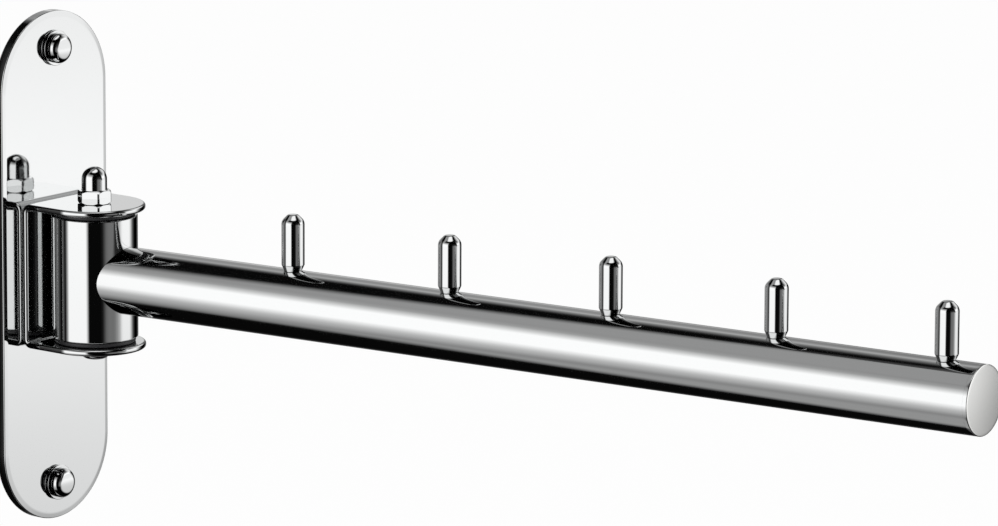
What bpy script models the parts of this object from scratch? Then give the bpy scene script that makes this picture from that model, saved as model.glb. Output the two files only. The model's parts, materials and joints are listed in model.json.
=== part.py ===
# A swing arm clothes hanger for a wall: a stadium plate, a bent hinge bracket, and a tube arm with five
# studs that turns on a bolt. Metres, +Z up. The wall is the plane Y = 0 and the hanger stands off
# towards -Y. The origin is the centre of the plate's back face.
import math

import bmesh
import bpy
from mathutils import Matrix, Vector

# Wall plate
PLATE_WIDTH = 0.050
PLATE_HEIGHT = 0.168
PLATE_THICKNESS = 0.004
PLATE_EDGE_BEVEL = 0.0007
SCREW_TO_PLATE_END = 0.012
SCREW_HOLE_CLEARANCE = 0.00035

# Arm
ARM_DIAMETER = 0.022
ARM_WALL = 0.0015
ARM_DROP = 0.0004
REST_SWING_DEG = 5.3
CAP_THICKNESS = 0.0016
CAP_EDGE_BEVEL = 0.0004
CAP_SPIGOT_DEPTH = 0.006

# Studs that keep the hangers apart
STUD_COUNT = 5
BARREL_TO_FIRST_STUD = 0.0645
STUD_PITCH = 0.060
LAST_STUD_TO_END = 0.0135
STUD_DIAMETER = 0.0074
STUD_HEIGHT = 0.018
STUD_TOP_CHAMFER = 0.0021
STUD_TOP_SOFTENING = 0.0007
STUD_FOOT_CHAMFER = 0.0014
STUD_SHOULDER = 0.0002

# Hinge barrel, a short tube that the arm is welded to, and what turns inside it
BARREL_BESIDE_ARM = 0.003
BARREL_ABOVE_ARM = 0.00905
BARREL_WALL = 0.0025
BARREL_EDGE_BEVEL = 0.0004
FLANGE_THICKNESS = 0.0014
FLANGE_SETBACK = 0.0008
BUSH_DEPTH = 0.0095
BUSH_EDGE_BEVEL = 0.0004
SLEEVE_WALL = 0.0010
RUNNING_GAP = 0.00015
SEAT_GAP = 0.00015

# Hinge bracket, one strip of sheet bent to a U and welded to the plate
SHEET_THICKNESS = 0.0020
SHEET_BEND_RADIUS = 0.0009
SHEET_EDGE_BEVEL = 0.0006
TONGUE_PAST_BARREL = 0.0025
WEB_TO_BARREL = 0.00085
BRACKET_DROP = 0.0008
BOLT_HOLE_CLEARANCE = 0.0002

# Pivot bolt and its cap nut
BOLT_DIAMETER = 0.006
BOLT_HEAD_OVERHANG = 0.00225
BOLT_HEAD_HEIGHT = 0.0036
BOLT_EDGE = 0.0004
BOLT_KEY_FLATS = 0.004
BOLT_KEY_DEPTH = 0.0019
THREAD_ENGAGEMENT = 0.0062
NUT_WALL = 0.002
NUT_HEX_HEIGHT = 0.0042
NUT_NECK_HEIGHT = 0.0035
NUT_DOME_HEIGHT = 0.00415
NUT_DOME_WALL = 0.00115
NUT_CHAMFER = 0.0008
NUT_CHAMFER_DEG = 45
NUT_TURN_DEG = -4.2

# Wall screws under their snap-on covers
SCREW_DIAMETER = 0.0045
SCREW_LENGTH = 0.020
SCREW_POINT_LENGTH = 0.005
SCREW_HEAD_OVERHANG = 0.00165
SCREW_HEAD_HEIGHT = 0.0023
SCREW_HEAD_EDGE = 0.0006
CROSS_WIDTH = 0.0009
CROSS_SPAN = 0.0042
CROSS_DEPTH = 0.0012
COVER_ROOM = 0.00035
COVER_WALL = 0.00065
COVER_CROWN = 0.0002
COVER_WASHER_OVERHANG = 0.0009
COVER_WASHER_THICKNESS = 0.0010

# A cutter runs this far past what it cuts
OVERRUN = 0.002

# Facets round a full turn, round a corner and up a dome, and the angles that count as an edge
LARGE_ROUND = 60
MEDIUM_ROUND = 36
SMALL_ROUND = 24
CORNER_STEPS = 4
DOME_STEPS = 6
SHARP_FROM_DEG = 30
BROKEN_FROM_DEG = 60

arm_radius = ARM_DIAMETER / 2
arm_bore = arm_radius - ARM_WALL
barrel_radius = arm_radius + BARREL_BESIDE_ARM
barrel_half = arm_radius + BARREL_ABOVE_ARM
tongue_radius = barrel_radius + TONGUE_PAST_BARREL

web_back = -PLATE_THICKNESS - SEAT_GAP
web_front = web_back - SHEET_THICKNESS
hinge_y = web_front - WEB_TO_BARREL - barrel_radius
hinge_z = -BRACKET_DROP
tongue_inside = barrel_half + FLANGE_THICKNESS + SEAT_GAP + RUNNING_GAP
tongue_outside = tongue_inside + SHEET_THICKNESS

bolt_radius = BOLT_DIAMETER / 2
bolt_hole_radius = bolt_radius + BOLT_HOLE_CLEARANCE
sleeve_inner = bolt_radius + RUNNING_GAP
sleeve_outer = sleeve_inner + SLEEVE_WALL
bush_bore = sleeve_outer + RUNNING_GAP
bush_outer = barrel_radius - BARREL_WALL - SEAT_GAP
nut_low = tongue_outside + SEAT_GAP

stud_distances = [barrel_radius + BARREL_TO_FIRST_STUD + STUD_PITCH * i for i in range(STUD_COUNT)]
arm_reach = stud_distances[-1] + LAST_STUD_TO_END
tube_end = arm_reach - CAP_THICKNESS - SEAT_GAP
screw_height = PLATE_HEIGHT / 2 - SCREW_TO_PLATE_END


def clear_scene():
    for obj in list(bpy.data.objects):
        bpy.data.objects.remove(obj, do_unlink=True)


def metal(name, colour, roughness, metallic=1.0):
    made = bpy.data.materials.new(name)
    made.use_nodes = True
    shader = made.node_tree.nodes["Principled BSDF"]
    shader.inputs["Base Color"].default_value = (*colour, 1.0)
    shader.inputs["Roughness"].default_value = roughness
    shader.inputs["Metallic"].default_value = metallic
    return made


def object_from(name, bm, material, parent=None):
    bmesh.ops.recalc_face_normals(bm, faces=bm.faces)
    mesh = bpy.data.meshes.new(name)
    bm.to_mesh(mesh)
    bm.free()
    mesh.shade_smooth()
    mesh.set_sharp_from_angle(angle=math.radians(SHARP_FROM_DEG))
    obj = bpy.data.objects.new(name, mesh)
    bpy.context.scene.collection.objects.link(obj)
    if material:
        mesh.materials.append(material)
    obj.parent = parent
    return obj


def cutter_from(name, bm, parent=None):
    obj = object_from(name, bm, None, parent)
    obj.hide_render = True
    obj.display_type = "WIRE"
    return obj


def boolean(obj, cutter, operation="DIFFERENCE"):
    step = obj.modifiers.new(cutter.name, "BOOLEAN")
    step.operation = operation
    step.object = cutter
    step.solver = "EXACT"


def arc(centre, radius, start_deg, end_deg, steps=CORNER_STEPS):
    """Points of an arc in a plane, both ends included."""
    turn = [math.radians(start_deg + (end_deg - start_deg) * i / steps) for i in range(steps + 1)]
    return [(centre[0] + radius * math.cos(a), centre[1] + radius * math.sin(a)) for a in turn]


def turned(profile, steps, frame=Matrix()):
    """A closed solid turned about Z from (radius, height) points, moved by frame. A point on the axis is
    one corner, and the last point joins the first."""
    bm = bmesh.new()
    rings = []
    for radius, height in profile:
        count = steps if radius else 1
        ring = [math.tau * i / steps for i in range(count)]
        rings.append([bm.verts.new((radius * math.cos(a), radius * math.sin(a), height)) for a in ring])
    for lower, upper in zip(rings, rings[1:] + rings[:1]):
        if len(lower) == len(upper) == 1:
            continue
        for i in range(steps):
            corners = [lower[i % len(lower)], lower[(i + 1) % len(lower)]]
            corners += [upper[(i + 1) % len(upper)], upper[i % len(upper)]]
            bm.faces.new(list(dict.fromkeys(corners)))
    bm.transform(frame)
    return bm


def extruded(outline, depth, frame=Matrix()):
    """A prism from an outline in XY, standing from Z = 0 to depth, moved by frame."""
    bm = bmesh.new()
    face = bm.faces.new([bm.verts.new((x, y, 0)) for x, y in outline])
    raised = bmesh.ops.extrude_face_region(bm, geom=[face])
    top = [item for item in raised["geom"] if isinstance(item, bmesh.types.BMVert)]
    bmesh.ops.translate(bm, vec=Vector((0, 0, depth)), verts=top)
    bm.transform(frame)
    return bm


def rod(radius, low, high, steps, frame=Matrix()):
    return turned([(0, low), (radius, low), (radius, high), (0, high)], steps, frame)


def break_edges(obj, width, segments):
    """Takes the sharpness off every edge that turns as far as a corner of sheet."""
    bevel = obj.modifiers.new("broken_edges", "BEVEL")
    bevel.width = width
    bevel.segments = segments
    bevel.limit_method = "ANGLE"
    bevel.angle_limit = math.radians(BROKEN_FROM_DEG)


def stadium(width, height, steps):
    """A rectangle with a half circle at its top and bottom."""
    radius = width / 2
    straight = height / 2 - radius
    return arc((0, straight), radius, 0, 180, steps) + arc((0, -straight), radius, 180, 360, steps)


# Frames for turned pieces: Z out of the wall, Z up the bolt, and Z along the arm with a flat facet on top
outward = Matrix.Rotation(math.pi / 2, 4, "X")
half_facet = Matrix.Rotation(math.pi / LARGE_ROUND, 4, "Z")
at_hinge = Matrix.Translation((0, hinge_y, hinge_z))
along_arm = Matrix.Translation((0, 0, -ARM_DROP)) @ outward @ half_facet


def make_wall_plate(steel):
    """The plate stands upright, with its edges rounded off all the way round."""
    outline = stadium(PLATE_WIDTH, PLATE_HEIGHT, LARGE_ROUND // 2)
    plate = object_from("wall_plate", extruded(outline, PLATE_THICKNESS, outward), steel)
    break_edges(plate, PLATE_EDGE_BEVEL, 2)
    radius = SCREW_DIAMETER / 2 + SCREW_HOLE_CLEARANCE
    for place_name, place in screw_places():
        hole = rod(radius, -OVERRUN, PLATE_THICKNESS + OVERRUN, SMALL_ROUND, place)
        boolean(plate, cutter_from(f"screw_hole_cutter_{place_name}", hole))


def screw_places():
    """The two fixing points on the wall, each with its Z axis out of the wall."""
    sides = (("upper", screw_height), ("lower", -screw_height))
    return [(name, Matrix.Translation((0, 0, height)) @ outward) for name, height in sides]


def bent_strip_outline():
    """The strip's edge seen from the side, as (distance out from the web's back, height)."""
    inner, outer = SHEET_BEND_RADIUS, SHEET_BEND_RADIUS + SHEET_THICKNESS
    reach = web_back - hinge_y + tongue_radius + OVERRUN
    bend = (outer, tongue_outside - outer)
    outside = [(reach, tongue_outside)] + arc(bend, outer, 90, 180)
    inside = arc(bend, inner, 180, 90) + [(reach, tongue_inside)]
    outside += [(out, -height) for out, height in reversed(outside)]
    inside = [(out, -height) for out, height in reversed(inside)] + inside
    return outside + inside


def make_hinge_bracket(steel):
    """The strip is bent to a U in side view, and each tongue ends in a half circle about the bolt."""
    across = Matrix(((0, 0, 1, -tongue_radius), (-1, 0, 0, web_back), (0, 1, 0, hinge_z), (0, 0, 0, 1)))
    strip = extruded(bent_strip_outline(), 2 * tongue_radius, across)
    bracket = object_from("hinge_bracket", strip, steel)
    back = web_back + OVERRUN
    plan = [(tongue_radius, back), (-tongue_radius, back)]
    plan += arc((0, hinge_y), tongue_radius, 180, 360, LARGE_ROUND // 2)
    reach = tongue_outside + OVERRUN
    below = Matrix.Translation((0, 0, hinge_z - reach))
    boolean(bracket, cutter_from("bracket_plan_cutter", extruded(plan, 2 * reach, below)), "INTERSECT")
    bolt_hole = rod(bolt_hole_radius, -reach, reach, SMALL_ROUND, at_hinge)
    boolean(bracket, cutter_from("bolt_hole_cutter", bolt_hole))
    break_edges(bracket, SHEET_EDGE_BEVEL, 1)


def make_barrel(steel, pivot):
    """The barrel is a length of tube, with both its rims rounded off."""
    bore, edge = barrel_radius - BARREL_WALL, BARREL_EDGE_BEVEL
    profile = [(bore, -barrel_half), (barrel_radius - edge, -barrel_half)]
    profile += [(barrel_radius, edge - barrel_half), (barrel_radius, barrel_half - edge)]
    profile += [(barrel_radius - edge, barrel_half), (bore, barrel_half)]
    object_from("hinge_barrel", turned(profile, LARGE_ROUND), steel, pivot)


def make_bushes(nylon, pivot):
    """A flanged bush is pressed into each end of the barrel. Its flange runs on the tongue."""
    seat = barrel_half + SEAT_GAP
    face = seat + FLANGE_THICKNESS
    rim, edge = barrel_radius - FLANGE_SETBACK, BUSH_EDGE_BEVEL
    inner_end = seat - BUSH_DEPTH
    profile = [(bush_bore, inner_end), (bush_outer - edge, inner_end), (bush_outer, inner_end + edge)]
    profile += [(bush_outer, seat), (rim - edge, seat), (rim, seat + edge), (rim, face - edge)]
    profile += [(rim - edge, face), (bush_bore, face)]
    for name, turn in (("upper_bush", 0), ("lower_bush", math.pi)):
        over = Matrix.Rotation(turn, 4, "X")
        object_from(name, turned(profile, MEDIUM_ROUND, over), nylon, pivot)


def make_sleeve(steel):
    """The sleeve keeps the tongues apart when the nut is tightened, so the arm stays free to turn."""
    half = tongue_inside - SEAT_GAP
    profile = [(sleeve_inner, -half), (sleeve_outer, -half), (sleeve_outer, half), (sleeve_inner, half)]
    object_from("pivot_sleeve", turned(profile, MEDIUM_ROUND, at_hinge), steel)


def hexagon(across_flats, turn_deg):
    radius = across_flats / 2 / math.cos(math.pi / 6)
    turns = [math.radians(turn_deg + 60 * i) for i in range(6)]
    return [(radius * math.cos(a), radius * math.sin(a)) for a in turns]


def make_bolt(steel):
    """A button head bolt comes up from below. Its round head has a hexagon socket underneath."""
    under = -tongue_outside - SEAT_GAP
    bottom = under - BOLT_HEAD_HEIGHT
    tip = nut_low + THREAD_ENGAGEMENT
    head = bolt_radius + BOLT_HEAD_OVERHANG
    flat = BOLT_KEY_FLATS / 2 + BOLT_EDGE
    rise = BOLT_HEAD_HEIGHT - BOLT_EDGE
    quarter = arc((0, 0), 1, 90, 0, DOME_STEPS)
    profile = [(0, bottom)] + [(flat + (head - flat) * x, under - BOLT_EDGE - rise * y) for x, y in quarter]
    profile += [(head - BOLT_EDGE, under), (bolt_radius, under), (bolt_radius, tip - BOLT_EDGE)]
    profile += [(bolt_radius - BOLT_EDGE, tip), (0, tip)]
    bolt = object_from("hinge_bolt", turned(profile, SMALL_ROUND, at_hinge), steel)
    place = at_hinge @ Matrix.Translation((0, 0, bottom - OVERRUN))
    socket = extruded(hexagon(BOLT_KEY_FLATS, 0), BOLT_KEY_DEPTH + OVERRUN, place)
    boolean(bolt, cutter_from("bolt_socket_cutter", socket))


def make_cap_nut(steel):
    """A cap nut sits on the upper tongue: a hexagon with its corners turned off, a neck and a dome."""
    flats = BOLT_DIAMETER + 2 * NUT_WALL
    corner = flats / 2 / math.cos(math.pi / 6) + RUNNING_GAP
    dome = bolt_radius + NUT_DOME_WALL
    shoulder = nut_low + NUT_HEX_HEIGHT
    spring = shoulder + NUT_NECK_HEIGHT
    slope = NUT_CHAMFER * math.tan(math.radians(NUT_CHAMFER_DEG))
    blank = [(0, nut_low), (corner - NUT_CHAMFER, nut_low), (corner, nut_low + slope)]
    blank += [(corner, shoulder - slope), (corner - NUT_CHAMFER, shoulder), (dome, shoulder)]
    quarter = arc((0, 0), 1, 0, 90, DOME_STEPS)[:-1]
    blank += [(dome * x, spring + NUT_DOME_HEIGHT * y) for x, y in quarter] + [(0, spring + NUT_DOME_HEIGHT)]
    nut = object_from("cap_nut", turned(blank, SMALL_ROUND, at_hinge), steel)
    below = at_hinge @ Matrix.Translation((0, 0, nut_low - OVERRUN))
    hex_bar = extruded(hexagon(flats, NUT_TURN_DEG), NUT_HEX_HEIGHT + OVERRUN, below)
    stock = cutter_from("nut_hexagon_cutter", hex_bar)
    above = rod(corner + dome, shoulder, spring + NUT_DOME_HEIGHT + OVERRUN, SMALL_ROUND, at_hinge)
    boolean(stock, cutter_from("nut_dome_cutter", above), "UNION")
    depth = nut_low + THREAD_ENGAGEMENT + RUNNING_GAP
    drill = rod(bolt_radius + RUNNING_GAP, nut_low - OVERRUN, depth, SMALL_ROUND, at_hinge)
    boolean(nut, stock, "INTERSECT")
    boolean(nut, cutter_from("nut_thread_cutter", drill))


def make_arm_tube(steel, pivot):
    """The tube's root is cut to the barrel's curve, and its top is drilled for the studs."""
    profile = [(arm_bore, 0), (arm_radius, 0), (arm_radius, tube_end), (arm_bore, tube_end)]
    tube = object_from("arm_tube", turned(profile, LARGE_ROUND, along_arm), steel, pivot)
    saddle = rod(barrel_radius + SEAT_GAP, -barrel_half, barrel_half, LARGE_ROUND)
    boolean(tube, cutter_from("saddle_cutter", saddle, pivot))
    radius = STUD_DIAMETER / 2 - STUD_FOOT_CHAMFER - STUD_SHOULDER + RUNNING_GAP
    for number, distance in enumerate(stud_distances, 1):
        place = Matrix.Translation((0, -distance, -ARM_DROP))
        drill = rod(radius, 0, arm_radius + OVERRUN, SMALL_ROUND, place)
        boolean(tube, cutter_from(f"stud_hole_cutter_{number}", drill, pivot))


def make_arm_end_cap(satin, pivot):
    """The flat disc closes the arm's end, and its spigot sits in the tube."""
    seat, rim, edge = tube_end + SEAT_GAP, arm_radius, CAP_EDGE_BEVEL
    spigot = arm_bore - RUNNING_GAP
    inner = seat - CAP_SPIGOT_DEPTH
    profile = [(0, inner), (spigot - edge, inner), (spigot, inner + edge), (spigot, seat), (rim, seat)]
    profile += [(rim, arm_reach - edge), (rim - edge, arm_reach), (0, arm_reach)]
    object_from("arm_end_cap", turned(profile, LARGE_ROUND, along_arm), satin, pivot)


def make_studs(steel, pivot):
    """Each stud has a drawn-in foot and a chamfered top, and its spigot fills a hole in the tube's wall."""
    foot = arm_radius + SEAT_GAP
    top = arm_radius + STUD_HEIGHT
    radius = STUD_DIAMETER / 2
    sole = radius - STUD_FOOT_CHAMFER
    spigot = sole - STUD_SHOULDER
    tail = arm_bore + RUNNING_GAP
    profile = [(0, tail), (spigot, tail), (spigot, foot), (sole, foot), (radius, foot + STUD_FOOT_CHAMFER)]
    soft, chamfer = STUD_TOP_SOFTENING, STUD_TOP_CHAMFER
    lead = soft * math.tan(math.pi / 8)
    profile += arc((radius - soft, top - chamfer - lead), soft, 0, 45, 2)
    profile += arc((radius - chamfer - lead, top - soft), soft, 45, 90, 2) + [(0, top)]
    for number, distance in enumerate(stud_distances, 1):
        stud = object_from(f"hook_stud_{number}", turned(profile, SMALL_ROUND), steel, pivot)
        stud.location = (0, -distance, -ARM_DROP)


def screw_profile(under, top):
    """A pointed shank and a flat head, with heights measured out from the wall."""
    shank = SCREW_DIAMETER / 2
    head = shank + SCREW_HEAD_OVERHANG
    tip = PLATE_THICKNESS - SCREW_LENGTH
    profile = [(0, tip), (shank, tip + SCREW_POINT_LENGTH), (shank, under), (head, under)]
    return profile + [(head, top - SCREW_HEAD_EDGE), (head - SCREW_HEAD_EDGE, top), (0, top)]


def cover_profile(skirt, head, inside):
    """A thin cup over the screw's head, rounded at its edge and a little crowned."""
    wall, room = COVER_WALL, COVER_ROOM
    shoulder = inside + wall
    cup = [(head + room, skirt), (head + room + wall, skirt)]
    cup += arc((head, inside - room), room + wall, 0, 90)
    cup += [(0, shoulder + COVER_CROWN), (0, inside + COVER_CROWN)]
    return cup + arc((head, inside - room), room, 90, 0)


def make_wall_screws(steel, polished):
    """A screw holds the plate at each hole through a ring washer, and a smooth cover snaps over it."""
    ring_low = PLATE_THICKNESS + SEAT_GAP
    ring_high = ring_low + COVER_WASHER_THICKNESS
    under = ring_high + SEAT_GAP
    top = under + SCREW_HEAD_HEIGHT
    shank = SCREW_DIAMETER / 2
    head = shank + SCREW_HEAD_OVERHANG
    bore, rim = shank + RUNNING_GAP, head + COVER_ROOM + COVER_WALL + COVER_WASHER_OVERHANG
    ring = [(bore, ring_low), (rim, ring_low), (rim, ring_high), (bore, ring_high)]
    cover = cover_profile(under, head, top + RUNNING_GAP)
    half, thin = CROSS_SPAN / 2, CROSS_WIDTH / 2
    slot = [(half, -thin), (half, thin), (-half, thin), (-half, -thin)]
    for place_name, place in screw_places():
        screw = turned(screw_profile(under, top), SMALL_ROUND, place)
        body = object_from(f"wall_screw_{place_name}", screw, steel)
        floor = place @ Matrix.Translation((0, 0, top - CROSS_DEPTH))
        for bar in range(2):
            across = floor @ Matrix.Rotation(bar * math.pi / 2, 4, "Z")
            cut = extruded(slot, CROSS_DEPTH + OVERRUN, across)
            boolean(body, cutter_from(f"cross_cutter_{place_name}_{bar + 1}", cut))
        object_from(f"cover_washer_{place_name}", turned(ring, MEDIUM_ROUND, place), polished)
        object_from(f"screw_cover_{place_name}", turned(cover, MEDIUM_ROUND, place), polished)


def build():
    clear_scene()
    polished = metal("mirror_polished_steel", (0.78, 0.78, 0.78), 0.05)
    satin = metal("satin_steel", (0.66, 0.66, 0.66), 0.35)
    zinc = metal("plain_steel", (0.55, 0.55, 0.54), 0.30)
    nylon = metal("black_nylon", (0.045, 0.045, 0.048), 0.45, 0.0)
    pivot = bpy.data.objects.new("arm_pivot", None)
    bpy.context.scene.collection.objects.link(pivot)
    pivot.location = (0, hinge_y, hinge_z)
    pivot.rotation_euler = (0, 0, math.radians(REST_SWING_DEG))
    make_wall_plate(polished)
    make_hinge_bracket(polished)
    make_barrel(polished, pivot)
    make_bushes(nylon, pivot)
    make_sleeve(zinc)
    make_bolt(polished)
    make_cap_nut(polished)
    make_arm_tube(polished, pivot)
    make_arm_end_cap(satin, pivot)
    make_studs(polished, pivot)
    make_wall_screws(zinc, polished)
    bpy.context.view_layer.update()


build()
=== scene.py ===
import json
import math

import bmesh
import bpy
from mathutils import Matrix, Vector


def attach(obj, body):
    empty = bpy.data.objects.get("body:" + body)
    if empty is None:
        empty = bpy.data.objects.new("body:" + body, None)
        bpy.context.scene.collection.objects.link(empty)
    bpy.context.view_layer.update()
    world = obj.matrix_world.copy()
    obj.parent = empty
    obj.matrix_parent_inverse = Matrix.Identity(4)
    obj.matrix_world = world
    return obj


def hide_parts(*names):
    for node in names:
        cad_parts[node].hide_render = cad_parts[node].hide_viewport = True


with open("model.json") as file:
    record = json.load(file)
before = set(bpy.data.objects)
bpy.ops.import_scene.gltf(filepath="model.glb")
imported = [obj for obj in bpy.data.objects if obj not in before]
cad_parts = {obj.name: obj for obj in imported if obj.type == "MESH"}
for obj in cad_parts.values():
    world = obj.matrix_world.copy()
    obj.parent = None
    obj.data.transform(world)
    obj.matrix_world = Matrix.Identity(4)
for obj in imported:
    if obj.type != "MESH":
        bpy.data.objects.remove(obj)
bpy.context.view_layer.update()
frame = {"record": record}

mm = 0.001
fixedBody, movingBody = "wall_mount", "swing_arm"
scene = bpy.context.scene
scene.view_settings.view_transform = "Standard"

# Each frame is in millimetres: out of the wall, up the hinge, level with the arm, and along the arm
hinge = Vector(frame["record"]["behaviour"]["joints"][0]["pos_m"])
armRest = {"swing": 5.3, "drop": 0.4}
outward = Matrix.Rotation(math.pi / 2, 4, "X")
onWall = outward @ Matrix.Scale(mm, 4)
atHinge = Matrix.Translation(hinge) @ Matrix.Scale(mm, 4)
swung = Matrix.Rotation(math.radians(armRest["swing"]), 4, "Z")
onHinge = Matrix.Translation(hinge) @ swung @ Matrix.Scale(mm, 4)
onArm = onHinge @ Matrix.Translation((0, 0, -armRest["drop"]))
alongArm = onArm @ outward
armWay = swung @ Vector((0, -1, 0))
armAxisPoint = onArm @ Vector((0, 0, 0))


# Colours, nodes and trees

def linear(hexColour):
    # sRGB hex to the linear colour that a shader takes
    channels = [int(hexColour[i:i + 2], 16) / 255 for i in (1, 3, 5)]
    return [c / 12.92 if c <= 0.04045 else ((c + 0.055) / 1.055) ** 2.4 for c in channels] + [1.0]


def addNode(tree, kind, settings=None, links=None):
    # Settings are a node's own properties or its inputs' values, and a linked node gives its first output
    node = tree.nodes.new(kind)
    for key, value in (settings or {}).items():
        if isinstance(key, str) and hasattr(node, key):
            setattr(node, key, value)
        else:
            node.inputs[key].default_value = value
    for key, source in (links or {}).items():
        tree.links.new(source.outputs[0] if isinstance(source, bpy.types.Node) else source, node.inputs[key])
    return node


def maths(tree, operation, *terms):
    # A math node whose inputs, in order, are numbers, nodes or sockets
    numbers = {i: term for i, term in enumerate(terms) if isinstance(term, (int, float))}
    links = {i: term for i, term in enumerate(terms) if i not in numbers}
    return addNode(tree, "ShaderNodeMath", {"operation": operation, **numbers}, links)


def newMaterial(name, settings):
    made = bpy.data.materials.new(name)
    made.use_nodes = True
    shader = made.node_tree.nodes["Principled BSDF"]
    for key, value in settings.items():
        shader.inputs[key].default_value = value
    return made, made.node_tree, shader


def newShapeTree(name, inputs):
    # A Geometry Nodes tree with a mesh in, a mesh out and these named inputs
    tree = bpy.data.node_groups.new(name, "GeometryNodeTree")
    tree.interface.new_socket(name="Geometry", in_out="OUTPUT", socket_type="NodeSocketGeometry")
    tree.interface.new_socket(name="Geometry", in_out="INPUT", socket_type="NodeSocketGeometry")
    for label, kind in inputs.items():
        tree.interface.new_socket(name=label, in_out="INPUT", socket_type=kind)
    return tree, addNode(tree, "NodeGroupInput"), addNode(tree, "NodeGroupOutput")


# Shapes in mesh code

mergeWithin = 1e-7
creaseAngle = 40


def softened(corners, steps=5):
    # An outline from (across, along, rounding) corners, with an arc at each one that is rounded
    points = []
    for i, (across, along, rounding) in enumerate(corners):
        here = Vector((across, along))
        if not rounding:
            points.append(here)
            continue
        back = (Vector(corners[i - 1][:2]) - here).normalized()
        onward = (Vector(corners[(i + 1) % len(corners)][:2]) - here).normalized()
        half = back.angle(onward) / 2
        centre = here + (back + onward).normalized() * rounding / math.sin(half)
        first = here + back * rounding / math.tan(half) - centre
        last = here + onward * rounding / math.tan(half) - centre
        start = math.atan2(first.y, first.x)
        turn = math.remainder(math.atan2(last.y, last.x) - start, math.tau)
        for k in range(steps + 1):
            angle = start + turn * k / steps
            points.append(centre + rounding * Vector((math.cos(angle), math.sin(angle))))
    return points


def arc(centre, radii, startDeg, endDeg, steps):
    # Points of an arc, which is part of an ellipse where the two radii differ
    turns = [math.radians(startDeg + (endDeg - startDeg) * i / steps) for i in range(steps + 1)]
    return [Vector((centre[0] + radii[0] * math.cos(a), centre[1] + radii[1] * math.sin(a))) for a in turns]


def circle(radius, height, steps):
    # A loop of points about Z, or a single one where there is no radius
    turns = [math.tau * i / steps for i in range(steps if radius > 0 else 1)]
    return [(radius * math.cos(a), radius * math.sin(a), height) for a in turns]


def polygon(centre, radius, sides):
    return arc(centre, (radius, radius), 0, 360 - 360 / sides, sides - 1)


def hexRadius(flats):
    # From a hexagon's middle to its corners
    return flats / 2 / math.cos(math.pi / 6)


def bowed(edge, peak, steps):
    # A shallow crown from an edge point to its peak on the axis
    return [Vector((edge[0] * k / steps, peak - (peak - edge[1]) * (k / steps) ** 2))
            for k in range(steps - 1, -1, -1)]


def facedOut(bm):
    # A closed solid with its faces outwards. The signed volume shows when they all came out inwards.
    bmesh.ops.recalc_face_normals(bm, faces=bm.faces)
    if bm.calc_volume(signed=True) < 0:
        bmesh.ops.reverse_faces(bm, faces=bm.faces)
    return bm


def skinned(loops, place):
    # A closed solid through loops of points. A loop of one point is a pole, and the last joins the first.
    bm = bmesh.new()
    rings = [[bm.verts.new(point) for point in loop] for loop in loops]
    for lower, upper in zip(rings, rings[1:] + rings[:1]):
        count = max(len(lower), len(upper))
        for i in range(count if count > 1 else 0):
            corners = [lower[i % len(lower)], lower[(i + 1) % len(lower)]]
            corners += [upper[(i + 1) % len(upper)], upper[i % len(upper)]]
            bm.faces.new(list(dict.fromkeys(corners)))
    bm.transform(place)
    bmesh.ops.remove_doubles(bm, verts=bm.verts, dist=mergeWithin)
    bmesh.ops.dissolve_degenerate(bm, edges=bm.edges, dist=mergeWithin)
    return facedOut(bm)


def turned(profile, place, steps=192):
    # A solid turned about Z from (radius, height) points
    return skinned([circle(radius, height, steps) for radius, height in profile], place)


def extruded(outline, depth, place):
    # A prism from an outline in XY, standing from Z = 0 to depth
    bm = bmesh.new()
    face = bm.faces.new([bm.verts.new((x, y, 0)) for x, y in outline])
    raised = bmesh.ops.extrude_face_region(bm, geom=[face])
    top = [item for item in raised["geom"] if isinstance(item, bmesh.types.BMVert)]
    bmesh.ops.translate(bm, vec=Vector((0, 0, depth)), verts=top)
    bm.transform(place)
    return facedOut(bm)


def objectFrom(name, made):
    # An object at the origin from a bmesh or a mesh
    if isinstance(made, bmesh.types.BMesh):
        mesh = bpy.data.meshes.new(name)
        made.to_mesh(mesh)
        made.free()
    else:
        mesh = made
    obj = bpy.data.objects.new(name, mesh)
    scene.collection.objects.link(obj)
    return obj


def settled(obj):
    # The object's mesh with its modifiers worked in. The object itself goes.
    graph = bpy.context.evaluated_depsgraph_get()
    mesh = bpy.data.meshes.new_from_object(obj.evaluated_get(graph), depsgraph=graph)
    bpy.data.objects.remove(obj)
    return mesh


def cut(made, tool):
    # The mesh of one solid less another
    blank, cutter = objectFrom("blank", made), objectFrom("cutter", tool)
    step = blank.modifiers.new("cut", "BOOLEAN")
    step.object, step.operation, step.solver = cutter, "DIFFERENCE", "EXACT"
    mesh = settled(blank)
    bpy.data.objects.remove(cutter)
    return mesh


def shapedBy(tree, name, made, values):
    # Runs a tree on a mesh. Its inputs are set by the sockets' identifiers before it is first worked out.
    holder = objectFrom(name, made)
    step = holder.modifiers.new(tree.name, "NODES")
    step.node_group = tree
    for item in tree.interface.items_tree:
        if item.in_out == "INPUT" and item.name in values:
            step[item.identifier] = values[item.name]
    return settled(holder)


def finished(name, made, material, body, replaced):
    # A piece that rides on its body and stands for its CAD nodes. Flat faces keep flat normals.
    piece = objectFrom(name, made)
    piece.data.materials.clear()
    piece.data.materials.append(material)
    piece.data.shade_smooth()
    piece.data.set_sharp_from_angle(angle=math.radians(creaseAngle))
    piece.modifiers.new("evenNormals", "WEIGHTED_NORMAL").keep_sharp = True
    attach(piece, body)
    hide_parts(*replaced)


# Materials. Sizes in them are millimetres.

def noiseOver(tree, size, detail, where=None):
    # Noise with features of about this size, in object coordinates unless told where
    where = where or addNode(tree, "ShaderNodeTexCoord").outputs["Object"]
    return addNode(tree, "ShaderNodeTexNoise", {"Scale": 1 / (size * mm), "Detail": detail},
                   {"Vector": where})


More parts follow.
